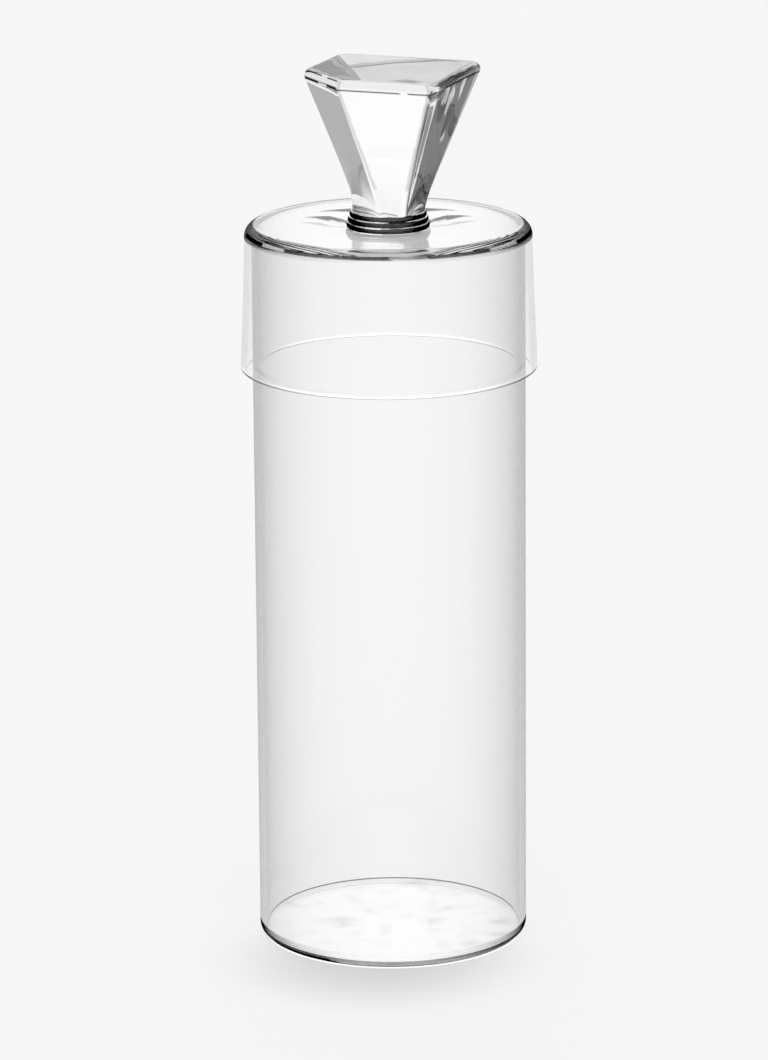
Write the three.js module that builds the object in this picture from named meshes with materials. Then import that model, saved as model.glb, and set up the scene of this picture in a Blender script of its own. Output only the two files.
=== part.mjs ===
// A tall straight glass carafe, closed by its own tumbler turned upside down over the mouth.
// Millimetres, +Z up. The origin is the middle of the carafe's base, on the surface it stands on.
import * as THREE from "three";

// Carafe: a straight tube with a flat, slightly pushed-up base
const carafeDiameter = 90;
const carafeHeight = 239.5;
const carafeWall = 2.2;
const carafeFloor = 3;
const baseCornerRadius = 3;
const floorFilletRadius = 3.5;
const puntDiameter = 62;
const puntDepth = 0.8;
const puntSlopeWidth = 4;

// Tumbler bowl: a cup that drops over the carafe with its floor on the carafe's rim
const sleeveClearance = 0.3;
const seatGap = 0.3;
const bowlDepth = 45.3;
const bowlWall = 2;
const bowlFloor = 3;
const bowlFlare = 1.75;
const flarePower = 1.4;
const heelRadius = 4;

// Collar: stacked rings of glass that fuse the foot to the bowl
const collarHeight = 4.2;
const collarBaseDiameter = 26.2;
const collarTopDiameter = 24;
const collarRings = 3;
const collarRingBulge = 0.5;

// Foot: a solid four-sided block with one corner cut to a fifth face, wide end up, running down
// into a round neck
const footHeight = 47;
const footReach = 25.4;
const footNearCutReach = 27.3;
const footFaceLean = 19;
const footCutReach = 25;
const footCutTurn = 225;
const footCutLean = 21.5;
const footCornerRadius = 2.4;
const footEdgeRadius = 2.5;
const neckDiameter = 23.6;
const neckBlend = 8;

// Fineness of the round forms
const turnSegments = 64;
const collarSegments = 48;
const arcSteps = 5;
const flareSteps = 6;
const footLevels = 11;
const footEdgeSteps = 4;
const footFaceSteps = 8;
const footLevelCrowding = 1.5;

// Sizes that follow from the ones above
const carafeRadius = carafeDiameter / 2;
const rimRadius = carafeWall / 2;
const bowlSeatZ = carafeHeight + seatGap;
const bowlTopZ = bowlSeatZ + bowlFloor;
const bowlRimZ = bowlSeatZ - bowlDepth;
const bowlInnerRadius = carafeRadius + sleeveClearance;
const bowlFilletRadius = rimRadius + seatGap;
const footZ = bowlTopZ + collarHeight;
const footTopZ = footZ + footHeight;

const glass = (name) => new THREE.MeshStandardMaterial({
  name, color: 0xeef3f2, roughness: 0.03, metalness: 0, transparent: true, opacity: 0.35,
});

// Points on an arc in the (radius, height) plane, angles in degrees
function arc(centreR, centreZ, radius, from, to, steps = arcSteps) {
  return Array.from({ length: steps + 1 }, (_, i) => {
    const angle = THREE.MathUtils.degToRad(from + ((to - from) * i) / steps);
    return new THREE.Vector2(centreR + radius * Math.cos(angle), centreZ + radius * Math.sin(angle));
  });
}

const point = (radius, height) => new THREE.Vector2(radius, height);

// A solid of revolution about Z from an outline that starts and ends on the axis,
// drawn with the glass on its left
function turned(outline, segments) {
  return new THREE.LatheGeometry(outline, segments).rotateX(Math.PI / 2);
}

function carafeBody() {
  const innerRadius = carafeRadius - carafeWall;
  const puntRadius = puntDiameter / 2;
  return turned([
    point(0, puntDepth),
    point(puntRadius - puntSlopeWidth, puntDepth),
    point(puntRadius, 0),
    ...arc(carafeRadius - baseCornerRadius, baseCornerRadius, baseCornerRadius, -90, 0),
    ...arc(carafeRadius - rimRadius, carafeHeight - rimRadius, rimRadius, 0, 180, 2 * arcSteps),
    ...arc(innerRadius - floorFilletRadius, carafeFloor + floorFilletRadius, floorFilletRadius, 0, -90),
    point(0, carafeFloor),
  ], turnSegments);
}

// How far the bowl has opened out at a height, growing towards its rim
function flareAt(z) {
  return bowlFlare * Math.pow((bowlSeatZ - z) / bowlDepth, flarePower);
}

// One wall of the bowl from below its closed end down to where the lip turns
function bowlWallLine(radius, startZ) {
  const endZ = bowlRimZ + bowlWall / 2;
  return Array.from({ length: flareSteps }, (_, i) => {
    const z = startZ + ((endZ - startZ) * (i + 1)) / (flareSteps + 1);
    return point(radius + flareAt(z), z);
  });
}

function tumblerBowl() {
  const outerRadius = bowlInnerRadius + bowlWall;
  const lipZ = bowlRimZ + bowlWall / 2;
  const lipCentreR = bowlInnerRadius + bowlWall / 2 + flareAt(lipZ);
  const filletZ = bowlSeatZ - bowlFilletRadius;
  const outline = [
    point(0, bowlTopZ),
    ...arc(outerRadius - heelRadius, bowlTopZ - heelRadius, heelRadius, 90, 0),
    ...bowlWallLine(outerRadius, bowlSeatZ),
    ...arc(lipCentreR, lipZ, bowlWall / 2, 0, -180, 2 * arcSteps),
    ...bowlWallLine(bowlInnerRadius, filletZ).reverse(),
    ...arc(bowlInnerRadius - bowlFilletRadius, filletZ, bowlFilletRadius, 0, 90),
    point(0, bowlSeatZ),
  ];
  return turned(outline.reverse(), turnSegments);
}

// Each ring bulges as half an ellipse, and the rings step in towards the foot
function mereseCollar() {
  const ringHeight = collarHeight / collarRings;
  const outline = [point(0, bowlTopZ)];
  for (let ring = 0; ring < collarRings; ring += 1) {
    const share = collarRings > 1 ? ring / (collarRings - 1) : 0;
    const radius = THREE.MathUtils.lerp(collarBaseDiameter, collarTopDiameter, share) / 2;
    for (let i = 0; i <= arcSteps; i += 1) {
      const angle = (Math.PI * i) / arcSteps;
      const z = bowlTopZ + ringHeight * (ring + (1 - Math.cos(angle)) / 2);
      outline.push(point(radius + collarRingBulge * Math.sin(angle), z));
    }
  }
  outline.push(point(0, footZ));
  return turned(outline, collarSegments);
}

// The foot's faces, in turn: the way each looks, its distance from the axis at the top, and its lean
const footFaces = [
  { turn: 0, reach: footReach, lean: footFaceLean },
  { turn: 90, reach: footReach, lean: footFaceLean },
  { turn: 180, reach: footNearCutReach, lean: footFaceLean },
  { turn: footCutTurn, reach: footCutReach, lean: footCutLean },
  { turn: 270, reach: footNearCutReach, lean: footFaceLean },
].map(({ turn, reach, lean }) => (
  { turn: THREE.MathUtils.degToRad(turn), reach, lean: THREE.MathUtils.degToRad(lean) }
));

// How far a leaning face is set in at a height, with its top edge rounded
function faceInset(lean, height) {
  const aboveCentre = height - (footHeight - footEdgeRadius);
  if (aboveCentre <= -footEdgeRadius * Math.sin(lean)) return Math.tan(lean) * (footHeight - height);
  const centreInset = footEdgeRadius * ((1 + Math.sin(lean)) * Math.tan(lean) + Math.cos(lean));
  return centreInset - Math.sqrt(Math.max(footEdgeRadius ** 2 - aboveCentre ** 2, 0));
}

// The foot's faces at a height, and the centres of the rounded corners that follow them
function footSection(height) {
  const least = neckDiameter / 4;
  const faces = footFaces.map(({ turn, reach, lean }) => (
    { turn, reach: Math.max(reach - faceInset(lean, height), least) }
  ));
  const centres = faces.map((face, i) => {
    const next = faces[(i + 1) % faces.length];
    const near = face.reach - footCornerRadius;
    const far = next.reach - footCornerRadius;
    const spread = Math.sin(next.turn - face.turn);
    return point(
      (near * Math.sin(next.turn) - far * Math.sin(face.turn)) / spread,
      (far * Math.cos(face.turn) - near * Math.cos(next.turn)) / spread,
    );
  });
  return { faces, centres };
}

// Distance from the axis to the side of a section, along a flat face or round a corner
function sectionReach({ faces, centres }, angle) {
  const flats = faces.map(({ turn, reach }) => Math.cos(angle - turn) / reach);
  const i = flats.indexOf(Math.max(...flats));
  const { turn, reach } = faces[i];
  const flat = reach / Math.cos(angle - turn);
  const aside = flat * Math.sin(angle - turn);
  const alongFace = point(-Math.sin(turn), Math.cos(turn));
  const after = centres[i];
  const before = centres[(i + centres.length - 1) % centres.length];
  let centre = null;
  if (aside > after.dot(alongFace)) centre = after;
  else if (aside < before.dot(alongFace)) centre = before;
  if (!centre) return flat;
  const towards = centre.dot(point(Math.cos(angle), Math.sin(angle)));
  const half = Math.sqrt(Math.max(towards ** 2 - centre.lengthSq() + footCornerRadius ** 2, 0));
  return towards + half;
}

// Directions of one ring's points: close together round each corner, even along each face
function footDirections() {
  const { faces, centres } = footSection(footHeight - footEdgeRadius);
  const angles = [];
  faces.forEach((face, i) => {
    const before = centres[(i + centres.length - 1) % centres.length];
    const after = centres[i];
    const next = faces[(i + 1) % faces.length];
    const nextTurn = next.turn > face.turn ? next.turn : next.turn + 2 * Math.PI;
    const outward = point(Math.cos(face.turn), Math.sin(face.turn)).multiplyScalar(footCornerRadius);
    for (let step = 1; step < footFaceSteps; step += 1) {
      const p = before.clone().lerp(after, step / footFaceSteps).add(outward);
      angles.push(p.angle());
    }
    for (let step = 0; step <= arcSteps; step += 1) {
      const turn = THREE.MathUtils.lerp(face.turn, nextTurn, step / arcSteps);
      const round = point(Math.cos(turn), Math.sin(turn)).multiplyScalar(footCornerRadius);
      angles.push(after.clone().add(round).angle());
    }
  });
  return angles;
}

// Heights from the neck to the top, closer together near the neck and round the top edge
function footHeights() {
  const lean = THREE.MathUtils.degToRad(footFaceLean);
  const wallTop = footHeight - footEdgeRadius * (1 + Math.sin(lean));
  const walls = Array.from({ length: footLevels + 1 }, (_, i) => (
    wallTop * Math.pow(i / footLevels, footLevelCrowding)
  ));
  const edge = Array.from({ length: footEdgeSteps }, (_, i) => {
    const swing = -lean + (Math.PI / 2 + lean) * ((i + 1) / footEdgeSteps);
    return footHeight - footEdgeRadius + footEdgeRadius * Math.sin(swing);
  });
  return [...walls, ...edge];
}

// A block lofted from a round neck into the faceted section that widens to the top
function facetedFoot() {
  const angles = footDirections();
  const positions = [];
  const triangles = [];
  const heights = footHeights();
  for (const height of heights) {
    const section = footSection(height);
    for (const angle of angles) {
      const faceted = Math.pow(sectionReach(section, angle), neckBlend);
      const reach = Math.pow(faceted + Math.pow(neckDiameter / 2, neckBlend), 1 / neckBlend);
      positions.push(reach * Math.cos(angle), reach * Math.sin(angle), footZ + height);
    }
  }
  const count = angles.length;
  const bottom = positions.length / 3;
  const top = bottom + 1;
  positions.push(0, 0, footZ, 0, 0, footTopZ);
  for (let i = 0; i < count; i += 1) {
    const next = (i + 1) % count;
    for (let ring = 0; ring + 1 < heights.length; ring += 1) {
      const low = ring * count;
      const high = low + count;
      triangles.push(low + i, low + next, high + next, low + i, high + next, high + i);
    }
    const last = (heights.length - 1) * count;
    triangles.push(bottom, next, i, top, last + i, last + next);
  }
  const geometry = new THREE.BufferGeometry();
  geometry.setAttribute("position", new THREE.Float32BufferAttribute(positions, 3));
  geometry.setIndex(triangles);
  geometry.computeVertexNormals();
  return geometry;
}

function piece(name, geometry) {
  const mesh = new THREE.Mesh(geometry, glass(`${name}_glass`));
  mesh.name = name;
  return mesh;
}

const carafe = new THREE.Group();
carafe.add(piece("carafe_body", carafeBody()));

const tumbler = new THREE.Group();
tumbler.add(
  piece("tumbler_bowl", tumblerBowl()),
  piece("merese_collar", mereseCollar()),
  piece("faceted_foot", facetedFoot()),
);

const carafeWithTumbler = new THREE.Group();
carafeWithTumbler.add(carafe, tumbler);

export default carafeWithTumbler;
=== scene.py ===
import math

import bmesh
import bpy
from mathutils import Matrix, Vector, noise


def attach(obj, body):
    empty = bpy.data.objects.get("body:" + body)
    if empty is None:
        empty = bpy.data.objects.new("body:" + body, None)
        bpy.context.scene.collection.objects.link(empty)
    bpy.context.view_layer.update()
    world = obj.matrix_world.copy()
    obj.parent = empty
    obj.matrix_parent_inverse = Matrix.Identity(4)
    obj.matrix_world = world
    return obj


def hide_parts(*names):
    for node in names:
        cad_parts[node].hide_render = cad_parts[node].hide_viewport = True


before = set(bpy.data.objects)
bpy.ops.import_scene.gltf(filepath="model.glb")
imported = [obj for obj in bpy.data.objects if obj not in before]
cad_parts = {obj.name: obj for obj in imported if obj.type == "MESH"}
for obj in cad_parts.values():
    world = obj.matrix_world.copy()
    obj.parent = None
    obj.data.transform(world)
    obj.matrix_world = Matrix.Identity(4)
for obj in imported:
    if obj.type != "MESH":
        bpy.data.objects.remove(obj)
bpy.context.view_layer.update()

scene = bpy.context.scene

# The camera, fitted to the photograph: metres and degrees, and millimetres for the lens
camera = {
    "turn": 20.5,  # how far round the object it stands
    "place": (-0.002139, -1.7182, 0.59049),
    "pitch": 14.734,
    "roll": -0.438,
    "lens": 181.39,
    "clipEnd": 50,
}


def makeCamera():
    data = bpy.data.cameras.new("photo_camera")
    data.lens = camera["lens"]
    data.clip_end = camera["clipEnd"]
    holder = bpy.data.objects.new("photo_camera", data)
    scene.collection.objects.link(holder)
    holder.matrix_world = (
        Matrix.Rotation(math.radians(camera["turn"]), 4, "Z")
        @ Matrix.Translation(camera["place"])
        @ Matrix.Rotation(math.radians(90 - camera["pitch"]), 4, "X")
        @ Matrix.Rotation(math.radians(camera["roll"]), 4, "Z")
    )
    scene.camera = holder


makeCamera()
print("camera placed")


class Wire:
    # A node's output: sums on wires add Math nodes, and node() adds any other kind
    def __init__(self, tree, socket=None):
        self.tree = tree
        self.socket = socket

    def node(self, kind, settings=None, inputs=None, output=0):
        made = self.tree.nodes.new(kind)
        for name, value in (settings or {}).items():
            if name == "stops":
                self.setStops(made.color_ramp, value)
            else:
                setattr(made, name, value)
        for name, value in (inputs or {}).items():
            if isinstance(value, Wire):
                self.tree.links.new(value.socket, made.inputs[name])
            else:
                made.inputs[name].default_value = value
        return Wire(self.tree, made.outputs[output]) if made.outputs else None

    def setStops(self, ramp, stops):
        while len(ramp.elements) > 1:
            ramp.elements.remove(ramp.elements[-1])
        for index, (position, level) in enumerate(stops):
            stop = ramp.elements.new(position) if index else ramp.elements[0]
            stop.position = position
            stop.color = (level, level, level, 1)

    def maths(self, operation, first, second):
        return self.node("ShaderNodeMath", {"operation": operation}, {0: first, 1: second})

    def __add__(self, other):
        return self.maths("ADD", self, other)

    def __radd__(self, other):
        return self.maths("ADD", other, self)

    def __sub__(self, other):
        return self.maths("SUBTRACT", self, other)

    def __rsub__(self, other):
        return self.maths("SUBTRACT", other, self)

    def __mul__(self, other):
        return self.maths("MULTIPLY", self, other)

    def __rmul__(self, other):
        return self.maths("MULTIPLY", other, self)

    def __truediv__(self, other):
        return self.maths("DIVIDE", self, other)

    def __rtruediv__(self, other):
        return self.maths("DIVIDE", other, self)


def emptyTree(owner):
    owner.use_nodes = True
    owner.node_tree.nodes.clear()
    return Wire(owner.node_tree)


# The studio: light by direction, so the floor is lit evenly wherever the object stands
studio = {
    # brightness round the set, in degrees from the backdrop: left is negative
    "around": (
        (-180, 0.9), (-160, 0.9), (-146, 0.14), (-112, 0.10), (-98, 0.30), (-82, 0.30), (-70, 0.04),
        (-46, 0.06), (-23, 1.04), (16, 1.04), (26, 0.38), (40, 0.32), (54, 0.05), (70, 0.04),
        (82, 0.25), (98, 0.25), (112, 0.10), (146, 0.14), (160, 0.9), (180, 0.9),
    ),
    "horizon": 0.92,
    "horizonFades": 9,
    "overhead": 1.0,
    "overheadStarts": 52,
    "overheadFull": 66,
    "floorGlow": 0.815,
    "floorTone": 0.20,
    "shadeDepth": 0.27,  # the soft shadow of the glass, painted into the floor's glow, towards the front
    "shadeCentre": (-0.005, -0.034, 0),
    "shadeReach": (0.062, 0.060, 1),
    "shadeStarts": 0.15,
    "floorSize": 12,
    "floorDrop": 0.0003,
    "padRadius": 0.0434,  # a lit pad under the base keeps the glass floor bright
    "padSides": 64,
    "padDrop": 0.00015,
    "padGlow": 1.08,
    "bounces": 40,
    "mirrorBounces": 20,
}


def lightStudio():
    world = bpy.data.worlds.new("soft_studio")
    scene.world = world
    tree = emptyTree(world)
    direction = tree.node("ShaderNodeTexCoord", output="Generated")
    turned = tree.node(
        "ShaderNodeVectorRotate", {"rotation_type": "Z_AXIS"},
        {"Vector": direction, "Angle": -math.radians(camera["turn"])})
    across = tree.node("ShaderNodeSeparateXYZ", None, {0: turned}, "X")
    away = tree.node("ShaderNodeSeparateXYZ", None, {0: turned}, "Y")
    rise = tree.node("ShaderNodeSeparateXYZ", None, {0: turned}, "Z")
    around = across.maths("ARCTAN2", across, away) / (2 * math.pi) + 0.5
    stops = [(degrees / 360 + 0.5, level) for degrees, level in studio["around"]]
    walls = tree.node("ShaderNodeValToRGB", {"stops": stops}, {"Fac": around}, "Color")
    height = rise.maths("ARCSINE", rise, 0)
    lift = tree.node(
        "ShaderNodeMapRange", {"interpolation_type": "SMOOTHSTEP"},
        {"Value": height, "From Min": math.radians(studio["overheadStarts"]),
         "From Max": math.radians(studio["overheadFull"])})
    fade = tree.node(
        "ShaderNodeMapRange", {"interpolation_type": "SMOOTHSTEP"},
        {"Value": height, "From Min": 0, "From Max": math.radians(studio["horizonFades"]),
         "To Min": studio["horizon"], "To Max": 1})
    top = studio["overhead"]
    light = tree.node(
        "ShaderNodeMix", {"data_type": "RGBA"}, {0: lift, 6: walls, 7: (top, top, top, 1)}, 2)
    dimmed = tree.node("ShaderNodeVectorMath", {"operation": "SCALE"}, {0: light, "Scale": fade})
    glow = tree.node("ShaderNodeBackground", None, {"Color": dimmed, "Strength": 1.0})
    tree.node("ShaderNodeOutputWorld", None, {"Surface": glow})


def addStage(bm, name, drop, tone, glowStrength, shadeDepth):
    bmesh.ops.translate(bm, verts=bm.verts, vec=(0, 0, -drop))
    mesh = bpy.data.meshes.new(name)
    bm.to_mesh(mesh)
    bm.free()
    material = bpy.data.materials.new(name)
    tree = emptyTree(material)
    spot = tree.node("ShaderNodeTexCoord", output="Object")
    turn = Matrix.Rotation(math.radians(camera["turn"]), 3, "Z")
    around = tree.node(
        "ShaderNodeMapping", {"vector_type": "TEXTURE"},
        {"Vector": spot, "Location": turn @ Vector(studio["shadeCentre"]), "Rotation": turn.to_euler(),
         "Scale": studio["shadeReach"]})
    reach = tree.node("ShaderNodeVectorMath", {"operation": "LENGTH"}, {0: around}, "Value")
    # painted shadow: the floor's glow dims in a soft patch round the base
    shade = tree.node(
        "ShaderNodeMapRange", {"interpolation_type": "SMOOTHSTEP"},
        {"Value": reach, "From Min": studio["shadeStarts"], "From Max": 1.0,
         "To Min": 1 - shadeDepth, "To Max": 1})
    chalk = tree.node("ShaderNodeBsdfDiffuse", None, {"Color": (tone, tone, tone, 1)})
    glow = tree.node("ShaderNodeEmission", None, {"Color": shade * glowStrength, "Strength": 1.0})
    surface = tree.node("ShaderNodeAddShader", None, {0: chalk, 1: glow})
    tree.node("ShaderNodeOutputMaterial", None, {"Surface": surface})
    mesh.materials.append(material)
    stand = bpy.data.objects.new(name, mesh)
    scene.collection.objects.link(stand)


def layFloor():
    bm = bmesh.new()
    bmesh.ops.create_grid(bm, x_segments=1, y_segments=1, size=studio["floorSize"] / 2)
    addStage(
        bm, "pale_floor", studio["floorDrop"], studio["floorTone"], studio["floorGlow"],
        studio["shadeDepth"])
    bm = bmesh.new()
    bmesh.ops.create_circle(bm, cap_ends=True, segments=studio["padSides"], radius=studio["padRadius"])
    addStage(bm, "lit_pad", studio["padDrop"], 0, studio["padGlow"], 0)


lightStudio()
layFloor()
scene.view_settings.view_transform = "Standard"
scene.cycles.max_bounces = studio["bounces"]
scene.cycles.transmission_bounces = studio["bounces"]
scene.cycles.glossy_bounces = studio["mirrorBounces"]
print("studio lit, floor laid")


# The glass of both pieces: how it bends, tints and loses light, and the faint film on it
clearStock = {
    "ior": 1.48,
    "slantBlend": 0.5,
    "slantPower": 1.62,
    "tint": (0.995, 0.997, 0.997, 1),
    "tintClear": (1, 1, 1, 1),
    "depthColour": (0.90, 0.91, 0.91, 1),
    "depthDensity": 5.0,
    "drawDetail": 3.0,
    "swirlDetail": 1.5,
    "filmScale": 60,
    "filmDetail": 6.0,
    "hazeStarts": 0.45,
    "hazeFull": 0.75,
    "haze": 0.01,
}


def clearGlass(name, look):
    stock = clearStock
    material = bpy.data.materials.new(name)
    tree = emptyTree(material)
    spot = tree.node("ShaderNodeTexCoord", output="Object")
    drawn = tree.node("ShaderNodeMapping", None, {"Vector": spot, "Scale": look["drawScale"]})
    lines = tree.node(
        "ShaderNodeTexNoise", None, {"Vector": drawn, "Scale": 1.0, "Detail": stock["drawDetail"]})
    swirl = tree.node(
        "ShaderNodeTexNoise", None,
        {"Vector": spot, "Scale": look["swirlScale"], "Detail": stock["swirlDetail"]})
    bump = tree.node(
        "ShaderNodeBump", None,
        {"Strength": 1.0, "Distance": look["ripple"], "Height": lines * look["drawShare"] + swirl})
    film = tree.node(
        "ShaderNodeTexNoise", None,
        {"Vector": spot, "Scale": stock["filmScale"], "Detail": stock["filmDetail"]})
    haze = tree.node(
        "ShaderNodeMapRange", None,
        {"Value": film, "From Min": stock["hazeStarts"], "From Max": stock["hazeFull"],
         "To Min": 0.0, "To Max": stock["haze"]})
    tint = tree.node(
        "ShaderNodeMix", {"data_type": "RGBA"},
        {0: film, 6: stock["tint"], 7: stock["tintClear"]}, 2)
    # painted highlight: the glint attribute makes the glass glow, on the rim, the collar's grooves and the
    # foot's streaks
    glint = tree.node("ShaderNodeAttribute", {"attribute_name": "glint"}, None, "Fac")
    glass = tree.node(
        "ShaderNodeBsdfPrincipled", None,
        {"Base Color": tint, "Roughness": haze, "Normal": bump, "IOR": stock["ior"],
         "Transmission Weight": 1.0, "Emission Color": glint, "Emission Strength": 1.0})
    # painted shade: slanting glass is darkened outside, and each full reflection inside is dimmed, as
    # dark cards round the set would do, though there are none
    inside = tree.node("ShaderNodeNewGeometry", output="Backfacing")
    outerShare = tree.node("ShaderNodeAttribute", {"attribute_name": "outer_loss"}, None, "Fac")
    innerShare = tree.node("ShaderNodeAttribute", {"attribute_name": "inner_loss"}, None, "Fac")
    slant = tree.node("ShaderNodeLayerWeight", None, {"Blend": stock["slantBlend"], "Normal": bump}, "Facing")
    mirrored = tree.node("ShaderNodeFresnel", None, {"IOR": stock["ior"], "Normal": bump})
    steadyShare = tree.node("ShaderNodeAttribute", {"attribute_name": "steady_loss"}, None, "Fac")
    outer = outerShare * slant.maths("POWER", slant, stock["slantPower"]) + steadyShare
    inner = innerShare * mirrored * mirrored
    lost = outer + inside * (inner - outer)
    dark = tree.node("ShaderNodeBsdfDiffuse", None, {"Color": (0, 0, 0, 1)})
    edged = tree.node("ShaderNodeMixShader", None, {0: lost, 1: glass, 2: dark})
    depth = tree.node(
        "ShaderNodeVolumeAbsorption", None,
        {"Color": stock["depthColour"], "Density": stock["depthDensity"]})
    tree.node("ShaderNodeOutputMaterial", None, {"Surface": edged, "Volume": depth})
    return material


# How the outlines of both pieces are turned: metres
turning = {
    "hold": 0.0006,  # a point this close to each end keeps a long straight flat
    "longHolds": 6,  # a straight is long past this many holds
    "weld": 1e-6,
}


def drawOutline(bm, corners, arcSteps):
    # a chain of points (radius, height, rounding) in the plane the spin starts from
    points = [bm.verts.new((radius, 0, height)) for radius, height, rounding in corners]
    for first, second in zip(points, points[1:]):
        bm.edges.new((first, second))
    for point, (radius, height, rounding) in zip(points, corners):
        if rounding:
            bmesh.ops.bevel(
                bm, geom=[point], offset=rounding, offset_type="OFFSET", affect="VERTICES",
                segments=arcSteps, profile=0.5, material=-1)


def holdFlats(bm):
    # the long straights stay flat under smooth shading
    hold = turning["hold"]
    for edge in [edge for edge in bm.edges if edge.calc_length() > turning["longHolds"] * hold]:
        near, far = edge.verts
        length = edge.calc_length()
        middle = bmesh.utils.edge_split(edge, near, hold / length)[1]
        rest = next(link for link in middle.link_edges if far in link.verts)
        bmesh.utils.edge_split(rest, far, hold / (length - hold))


def spinOutline(bm, steps):
    bmesh.ops.spin(
        bm, geom=bm.verts[:] + bm.edges[:], cent=(0, 0, 0), axis=(0, 0, 1), dvec=(0, 0, 0),
        angle=2 * math.pi, steps=steps, use_merge=True, use_normal_flip=False, use_duplicate=False)
    bmesh.ops.remove_doubles(bm, verts=bm.verts, dist=turning["weld"])


def finishPiece(bm, name, material, body, nodes, zoneLoss):
    bmesh.ops.remove_doubles(bm, verts=bm.verts, dist=turning["weld"])
    bmesh.ops.recalc_face_normals(bm, faces=bm.faces)
    outer = bm.verts.layers.float.new("outer_loss")
    inner = bm.verts.layers.float.new("inner_loss")
    steady = bm.verts.layers.float.new("steady_loss")
    glint = bm.verts.layers.float.new("glint")
    for point in bm.verts:
        point[outer], point[inner], point[steady], point[glint] = zoneLoss(point.co)
    for face in bm.faces:
        face.smooth = True
    mesh = bpy.data.meshes.new(name)
    bm.to_mesh(mesh)
    bm.free()
    mesh.materials.append(material)
    piece = bpy.data.objects.new(name, mesh)
    scene.collection.objects.link(piece)
    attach(piece, body)
    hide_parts(*nodes)
    print(name, "made,", len(mesh.polygons), "faces")


# The carafe: a straight tube with a flat base that is pushed up a little in the middle
carafe = {
    "radius": 0.045,
    "height": 0.2395,
    "wall": 0.0022,
    "floor": 0.002,
    "floorRings": (0.036, 0.030, 0.024, 0.018, 0.012, 0.006),
    "speckScale": 160,  # faint smears on the floor, and the patches they lie in
    "speckPatch": 40,
    "speckDepth": 0.6,
    "baseCorner": 0.003,
    "skinShare": 0.2,  # past this share of the wall a point is on the outside
    "cornerBlackens": 0.0018,  # painted shade: slanting glass is darkened between these heights and under the line
    "cornerClears": 0.0045,
    "baseLine": (0.0008, 0.0017),  # heights of the broken dark line painted round the corner as shade
    "baseLineScale": 24,
    "baseLineBreaks": -0.02,
    "floorFillet": 0.0012,
    "floorLineSpan": (0.1, 0.9),  # where the dark line painted as shade lies on the fillet, in shares of it
    "floorLineReach": 0.3,
    "puntRadius": 0.031,
    "puntDepth": 0.0004,
    "puntSoftness": 0.004,
    "steps": 256,
    "arcSteps": 10,
    # painted shade: light taken by slanting glass outside, in full reflections inside, and always; then the
    # painted highlight (glint)
    "loss": {
        "base": (0.10, 0.05, 0, 0), "corner": (1.5, 0.10, 0, 0), "baseLine": (1.5, 0.10, 0.75, 0),
        "floorLine": (0.10, 0.05, 0.85, 0), "wall": (0.33, 0.15, 0, 0), "lip": (0.33, 0.30, 0, 0),
    },
    "glass": {
        "drawScale": (700, 700, 6), "drawShare": 0.35, "swirlScale": 45, "ripple": 0.000004,
    },
}


# the painted shade and painted highlight of each point of the carafe, by zone
def carafeLoss(place):
    size = carafe
    reach = place.xy.length
    fillet = size["floorFillet"]
    inner = size["radius"] - size["wall"]
    outside = reach > inner + size["skinShare"] * size["wall"]
    lineStarts, lineEnds = size["baseLine"]
    slanting = size["cornerBlackens"] < place.z < size["cornerClears"] + turning["weld"]
    if outside and (slanting or place.z < lineStarts):
        return size["loss"]["corner"]
    if outside and lineStarts < place.z < lineEnds:
        if noise.noise(place * size["baseLineScale"]) > size["baseLineBreaks"]:
            return size["loss"]["baseLine"]
    floorRise = place.z - size["floor"]
    lineOff = abs(floorRise - (reach - inner + fillet))
    low, high = size["floorLineSpan"]
    if low * fillet < floorRise < high * fillet and lineOff < size["floorLineReach"] * fillet:
        return size["loss"]["floorLine"]
    if place.z < size["floor"] + fillet:
        outer, innerLoss, steady, glint = size["loss"]["base"]
        speck = noise.noise(place * size["speckScale"]) * noise.noise(place * size["speckPatch"])
        return outer, innerLoss, steady + size["speckDepth"] * max(speck, 0), glint
    if place.z > size["height"] - size["wall"]:
        return size["loss"]["lip"]
    return size["loss"]["wall"]


def makeCarafe():
    size = carafe
    inner = size["radius"] - size["wall"]
    lip = size["wall"] / 2
    bm = bmesh.new()
    drawOutline(bm, (
        (0, size["puntDepth"], 0),
        (size["puntRadius"], 0, size["puntSoftness"]),
        (size["radius"], 0, size["baseCorner"]),
        (size["radius"], size["cornerClears"], 0),
        (size["radius"], size["height"], lip),
        (inner, size["height"], lip),
        (inner, size["floor"], size["floorFillet"]),
        *((radius, size["floor"], 0) for radius in size["floorRings"]),
        (0, size["floor"], 0),
    ), size["arcSteps"])
    holdFlats(bm)
    spinOutline(bm, size["steps"])
    finishPiece(
        bm, "carafe_tube", clearGlass("carafe_glass", size["glass"]), "carafe",
        ["carafe_body"], carafeLoss)


makeCarafe()

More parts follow.
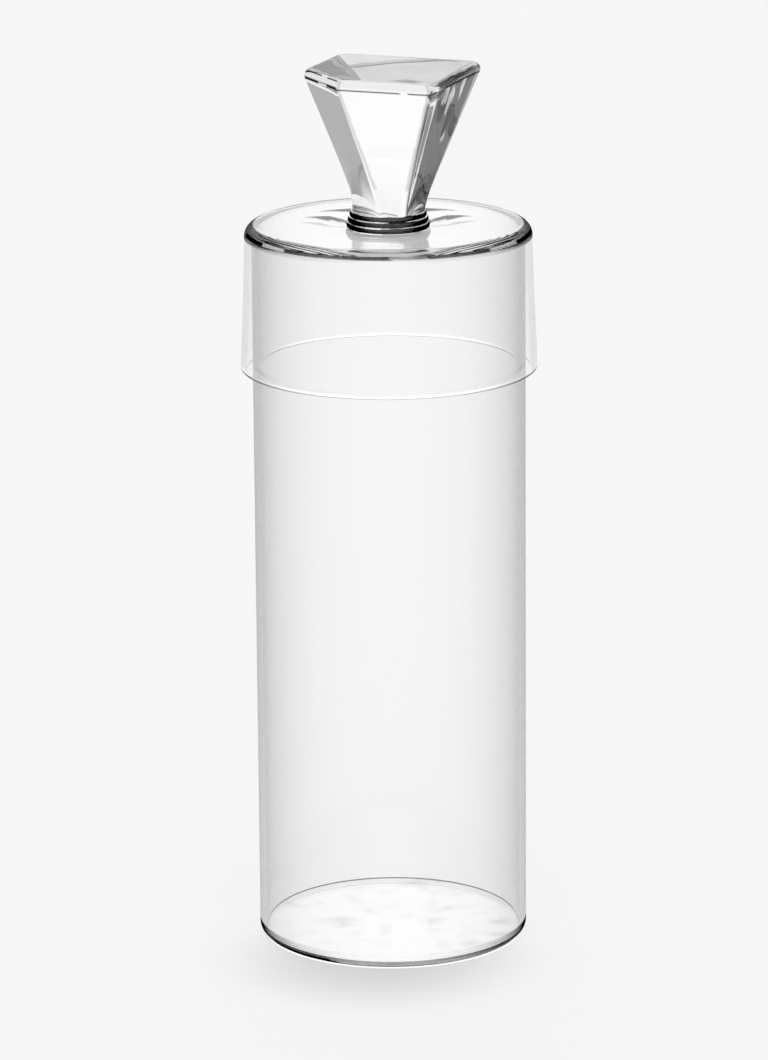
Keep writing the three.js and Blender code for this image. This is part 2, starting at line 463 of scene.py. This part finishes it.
# The tumbler, upside down: bowl, collar of stacked rings and faceted foot, one mass of glass
tumbler = {
    "seat": 0.2398,  # underside of its floor, just over the carafe's lip
    "floor": 0.003,
    "depth": 0.0453,
    "innerRadius": 0.0453,
    "wall": 0.002,
    "flare": 0.00175,
    "flarePower": 1.4,
    "seatFillet": 0.0014,
    "heel": 0.004,
    "wallCuts": 14,
    "collarHeight": 0.0042,
    "hollowRadius": 0.026,  # the plate dips a little towards the collar
    "hollowDepth": 0.0014,
    "hollowSoftness": 0.006,
    "collarRadii": (0.0131, 0.0127, 0.0121),
    "collarBulge": 0.0006,
    "collarSteps": 16,
    # the collar's crests are painted dark as shade, and its grooves carry a painted highlight
    "collarCrest": 0.43,
    "collarWander": 0.14,
    "heelStarts": 0.04,  # how far down the heel its painted shade starts, and where its broken painted shade line runs
    "heelLine": (0.44, 0.70),
    "heelLineScale": 55,
    "heelLineBreaks": -0.12,
    "collarFillet": 0.0007,
    "footHeight": 0.047,
    # the foot's faces: the way each one looks, its distance from the axis at the top, and its lean
    "footFaces": (
        (0, 0.0254, 19), (90, 0.0254, 19), (180, 0.0273, 19), (225, 0.025, 21.5), (270, 0.0273, 19),
    ),
    "footCorner": 0.0024,
    "footEdge": 0.0025,
    "cornerCrowding": 0.7,
    "crowdingSpread": 0.25,
    "neckRadius": 0.0118,
    "neckBlend": 8,
    "facetedShare": 0.5,  # the corners are full from this share of the height
    "footLevels": 40,
    "footCrowding": 1.5,
    "edgeSteps": 12,
    "topRings": 14,
    "topDish": 0.0002,
    "topShare": 0.25,  # how much of the edge looks like the top
    "lineWidth": 0.00045,  # the painted shade line under the foot's top edge, and how often it breaks
    "lineScale": 140,
    "lineBreaks": -0.35,
    "cutLineWidth": 0.0005,  # how far up that line reaches on the cut face
    "cutLineDrop": (0.00065, 0.0009),  # a second painted shade line, along the top of the cut face
    "cutFace": 225,
    "cutSpan": 27,
    "cornerLineShare": 0.25,  # the painted shade lines down the corners, in shares of a corner and of the height
    "cornerLineStarts": 0.2,
    "footRipple": 0.0002,
    "sideFrom": 0.8,  # the wavy side looks along +X, by the cosine of its direction; painted shade darkens it
    "sideFocus": 6,
    "sideRipple": 0.0013,
    "sideStretch": (1.5, 1.5, 0.8),
    # painted highlights streak the wavy side: their scale, share and lowest height
    "glintStreakScale": (170, 170, 110),
    "glintStreakShare": 0.34,
    "glintStreakStarts": 0.5,
    "rippleScale": 70,
    "steps": 320,
    "arcSteps": 20,
    # as on the carafe: painted shade outside, inside and always, and the painted highlight (glint)
    "loss": {
        # the rim, collar grooves and streaks get a painted highlight; crests, heel, side and lines get
        # painted shade
        "rim": (1.4, 0, 0, 0.3), "skirt": (0.06, 0.15, 0, 0), "heel": (1.1, 0.28, 0, 0),
        "heelLine": (1.4, 0.30, 0.75, 0), "plate": (0, 0, 0, 0), "crest": (0.9, 0.90, 0.9, 0),
        "groove": (0, 0.10, 0, 0.14), "foot": (0.06, 0.40, 0, 0), "side": (0.75, 0.60, 0.08, 0),
        "top": (0.27, 0.40, 0, 0), "edgeLine": (0.5, 0.60, 0.95, 0), "cornerLine": (0.3, 0.50, 0.22, 0),
        "glintStreak": (0.4, 0.50, 0, 0.35),
    },
    "glass": {
        "drawScale": (90, 90, 60), "drawShare": 0.4, "swirlScale": 55, "ripple": 0.000006,
    },
}


def collarRings():
    # where the collar's rings start, and the height of each
    size = tumbler
    ringBase = size["seat"] + size["floor"] - size["hollowDepth"]
    return ringBase, (size["collarHeight"] + size["hollowDepth"]) / len(size["collarRadii"])


def footStart():
    return tumbler["seat"] + tumbler["floor"] + tumbler["collarHeight"]


def bowlAndCollarOutline():
    size = tumbler
    outer = size["innerRadius"] + size["wall"]
    lip = size["wall"] / 2
    rim = size["seat"] - size["depth"]
    top = size["seat"] + size["floor"]
    ringBase, ringHeight = collarRings()
    corners = [
        (0, size["seat"], 0),
        (size["innerRadius"], size["seat"], size["seatFillet"]),
        (size["innerRadius"], rim, lip),
        (outer, rim, lip),
        (outer, top, size["heel"]),
        (size["hollowRadius"], top, size["hollowSoftness"]),
        (size["collarRadii"][0], ringBase, size["collarFillet"]),
    ]
    for index, radius in enumerate(size["collarRadii"]):
        low = ringBase + ringHeight * index
        for step in range(1, size["collarSteps"] + 1):
            swing = math.pi * step / size["collarSteps"]
            bulge = size["collarBulge"] * math.sin(swing)
            corners.append((radius + bulge, low + ringHeight * (1 - math.cos(swing)) / 2, 0))
    return corners


def flareBowl(bm):
    size = tumbler
    lipHeight = size["seat"] - size["depth"] + size["wall"] / 2
    wallEdges = [edge for edge in bm.edges if edge.calc_length() > size["depth"] / 2
                 and abs(edge.verts[0].co.x - edge.verts[1].co.x) < turning["hold"]]
    bmesh.ops.subdivide_edges(bm, edges=wallEdges, cuts=size["wallCuts"])
    for point in bm.verts:
        drop = size["seat"] - max(point.co.z, lipHeight)
        if drop > 0 and point.co.x > size["innerRadius"] / 2:
            point.co.x += size["flare"] * (drop / size["depth"]) ** size["flarePower"]


def footSection(height):
    # the foot's faces at a height, as directions and distances, and the centres of its rounded corners
    size = tumbler
    edge = size["footEdge"]
    above = height - (size["footHeight"] - edge)
    faces = []
    for turn, distance, lean in size["footFaces"]:
        slope = math.radians(lean)
        if above > -edge * math.sin(slope):
            edgeInset = edge * ((1 + math.sin(slope)) * math.tan(slope) + math.cos(slope))
            setIn = edgeInset - math.sqrt(max(edge * edge - above * above, 0))
        else:
            setIn = math.tan(slope) * (size["footHeight"] - height)
        faces.append((math.radians(turn), max(distance - setIn, size["neckRadius"] / 2)))
    centres = []
    for (turn, reach), (nextTurn, nextReach) in zip(faces, faces[1:] + faces[:1]):
        near = reach - size["footCorner"]
        far = nextReach - size["footCorner"]
        spread = math.sin(nextTurn - turn)
        centres.append(Vector((
            (near * math.sin(nextTurn) - far * math.sin(turn)) / spread,
            (far * math.cos(turn) - near * math.cos(nextTurn)) / spread)))
    return faces, centres


def sectionReach(section, angle):
    # from the axis to the side of the section, along a flat face or round a corner
    faces, centres = section
    index = max(range(len(faces)), key=lambda face: math.cos(angle - faces[face][0]) / faces[face][1])
    turn, reach = faces[index]
    flat = reach / math.cos(angle - turn)
    aside = flat * math.sin(angle - turn)
    along = Vector((-math.sin(turn), math.cos(turn)))
    if aside > centres[index].dot(along):
        centre = centres[index]
    elif aside < centres[index - 1].dot(along):
        centre = centres[index - 1]
    else:
        return flat
    towards = centre.dot(Vector((math.cos(angle), math.sin(angle))))
    return towards + math.sqrt(max(towards ** 2 - centre.length_squared + tumbler["footCorner"] ** 2, 0))


def cornerTurns(height):
    return [math.atan2(centre.y, centre.x) for centre in footSection(height)[1]]


def footWall():
    # the least lean of the foot's sides, and the height where their rounded top edge starts
    size = tumbler
    lean = math.radians(min(lean for turn, distance, lean in size["footFaces"]))
    return lean, size["footHeight"] - size["footEdge"] * (1 + math.sin(lean))


def footLevels():
    # heights up the foot, with how far a ring of the top has closed in
    size = tumbler
    edge = size["footEdge"]
    lean, wallTop = footWall()
    levels = []
    for index in range(1, size["footLevels"] + 1):
        levels.append((wallTop * (index / size["footLevels"]) ** size["footCrowding"], 1))
    levels.insert(-1, (wallTop - size["lineWidth"], 1))
    for index in range(1, size["edgeSteps"] + 1):
        swing = -lean + (math.pi / 2 + lean) * index / size["edgeSteps"]
        levels.append((size["footHeight"] - edge + edge * math.sin(swing), 1))
    for index in range(1, size["topRings"] + 1):
        levels.append((size["footHeight"], 1 - index / size["topRings"]))
    return levels


def crowdToCorners(angle, corners, share):
    # points gather at the foot's corners, where its side turns
    moved = angle
    for corner in corners:
        off = math.remainder(angle - corner, 2 * math.pi)
        moved -= share * off * math.exp(-(off / tumbler["crowdingSpread"]) ** 2)
    return moved


def raiseFoot(bm):
    # the open neck is drawn up ring by ring, from round to faceted
    size = tumbler
    turn = bm.verts.layers.float.new("turn")
    ring = [edge for edge in bm.edges if edge.is_boundary]
    for point in {point for edge in ring for point in edge.verts}:
        point[turn] = math.atan2(point.co.y, point.co.x)
    start = footStart()
    corners = cornerTurns(size["footHeight"])
    for height, closed in footLevels():
        made = bmesh.ops.extrude_edge_only(bm, edges=ring)["geom"]
        ring = [item for item in made if isinstance(item, bmesh.types.BMEdge) and item.is_boundary]
        rise = min(height / size["footHeight"] / size["facetedShare"], 1)
        section = footSection(height)
        for point in {point for edge in ring for point in edge.verts}:
            angle = crowdToCorners(point[turn], corners, size["cornerCrowding"] * rise)
            faceted = sectionReach(section, angle) ** size["neckBlend"]
            reach = (faceted + size["neckRadius"] ** size["neckBlend"]) ** (1 / size["neckBlend"]) * closed
            place = Vector((reach * math.cos(angle), reach * math.sin(angle), start + height))
            wave = size["footRipple"] * rise * noise.noise(place * size["rippleScale"])
            if closed < 1:
                dish = size["topDish"] * (1 - closed * closed)
                place.z -= dish + (wave + size["footRipple"]) * (1 - closed)
            else:
                streak = noise.noise(place * Vector(size["sideStretch"]) * size["rippleScale"])
                wave += size["sideRipple"] * rise * max(math.cos(angle), 0) ** size["sideFocus"] * streak
                place.x += wave * math.cos(angle)
                place.y += wave * math.sin(angle)
            point.co = place
    bm.verts.layers.float.remove(turn)


def footZone(place, rise):
    # the part of the foot that a point lies in, given its height over the collar
    size = tumbler
    if rise > size["footHeight"] - size["topShare"] * size["footEdge"]:
        return "top"
    wallTop = footWall()[1]
    unbroken = noise.noise(place * size["lineScale"]) > size["lineBreaks"]
    angle = math.atan2(place.y, place.x)
    fromCut = math.remainder(angle - math.radians(size["cutFace"]), 2 * math.pi)
    onCut = abs(fromCut) < math.radians(size["cutSpan"])
    lineTop = size["cutLineWidth"] if onCut else size["lineWidth"] / 2
    atEdge = -size["lineWidth"] / 2 < rise - wallTop < lineTop
    nearest, farthest = size["cutLineDrop"]
    atCutTop = onCut and nearest < size["footHeight"] - rise < farthest
    # painted shade: a broken dark line under the top edge and along the cut face
    if unbroken and (atEdge or atCutTop):
        return "edgeLine"
    reach = place.xy.length
    off = min(abs(math.remainder(angle - corner, 2 * math.pi)) for corner in cornerTurns(rise))
    # painted shade: dark lines down the foot's corners
    atCorner = off * reach < size["cornerLineShare"] * size["footCorner"]
    if atCorner and rise > size["cornerLineStarts"] * size["footHeight"]:
        return "cornerLine"
    # the face looking along +X gets painted shade, streaked with painted highlights
    if place.x < size["sideFrom"] * reach:
        return "foot"
    glinting = noise.noise(place * Vector(size["glintStreakScale"])) > size["glintStreakShare"]
    inGlintStreakBand = size["glintStreakStarts"] * size["footHeight"] < rise < wallTop
    return "glintStreak" if glinting and inGlintStreakBand else "side"


def bowlZone(place):
    # the part of the bowl or the collar that a point lies in
    size = tumbler
    top = size["seat"] + size["floor"]
    reach = place.xy.length
    ringBase, ringHeight = collarRings()
    # the collar's crests get painted shade, its grooves a painted highlight
    if place.z > ringBase and reach < size["collarRadii"][0] + 2 * size["collarBulge"]:
        fromCrest = abs((place.z - ringBase) / ringHeight % 1 - 0.5)
        wander = size["collarWander"] * noise.noise(place * size["lineScale"])
        return "crest" if fromCrest < size["collarCrest"] + wander else "groove"
    if reach < size["innerRadius"] - size["seatFillet"]:
        return "plate"
    heelDrop = (top - place.z) / size["heel"]
    # painted shade darkens the heel, with a broken dark line painted along it
    if size["heelStarts"] < heelDrop < 1:
        lineStarts, lineEnds = size["heelLine"]
        onLine = lineStarts < heelDrop < lineEnds and reach > size["innerRadius"]
        unbroken = noise.noise(place * size["heelLineScale"]) > size["heelLineBreaks"]
        return "heelLine" if onLine and unbroken else "heel"
    return "rim" if place.z < size["seat"] - size["depth"] + size["wall"] / 2 else "skirt"


# the painted shade and painted highlight of each point of the tumbler, by zone
def tumblerLoss(place):
    rise = place.z - footStart()
    return tumbler["loss"][footZone(place, rise) if rise > 0 else bowlZone(place)]


def makeTumbler():
    size = tumbler
    bm = bmesh.new()
    drawOutline(bm, bowlAndCollarOutline(), size["arcSteps"])
    holdFlats(bm)
    flareBowl(bm)
    spinOutline(bm, size["steps"])
    raiseFoot(bm)
    finishPiece(
        bm, "tumbler_lid", clearGlass("tumbler_glass", size["glass"]), "tumbler",
        ["tumbler_bowl", "merese_collar", "faceted_foot"], tumblerLoss)


makeTumbler()
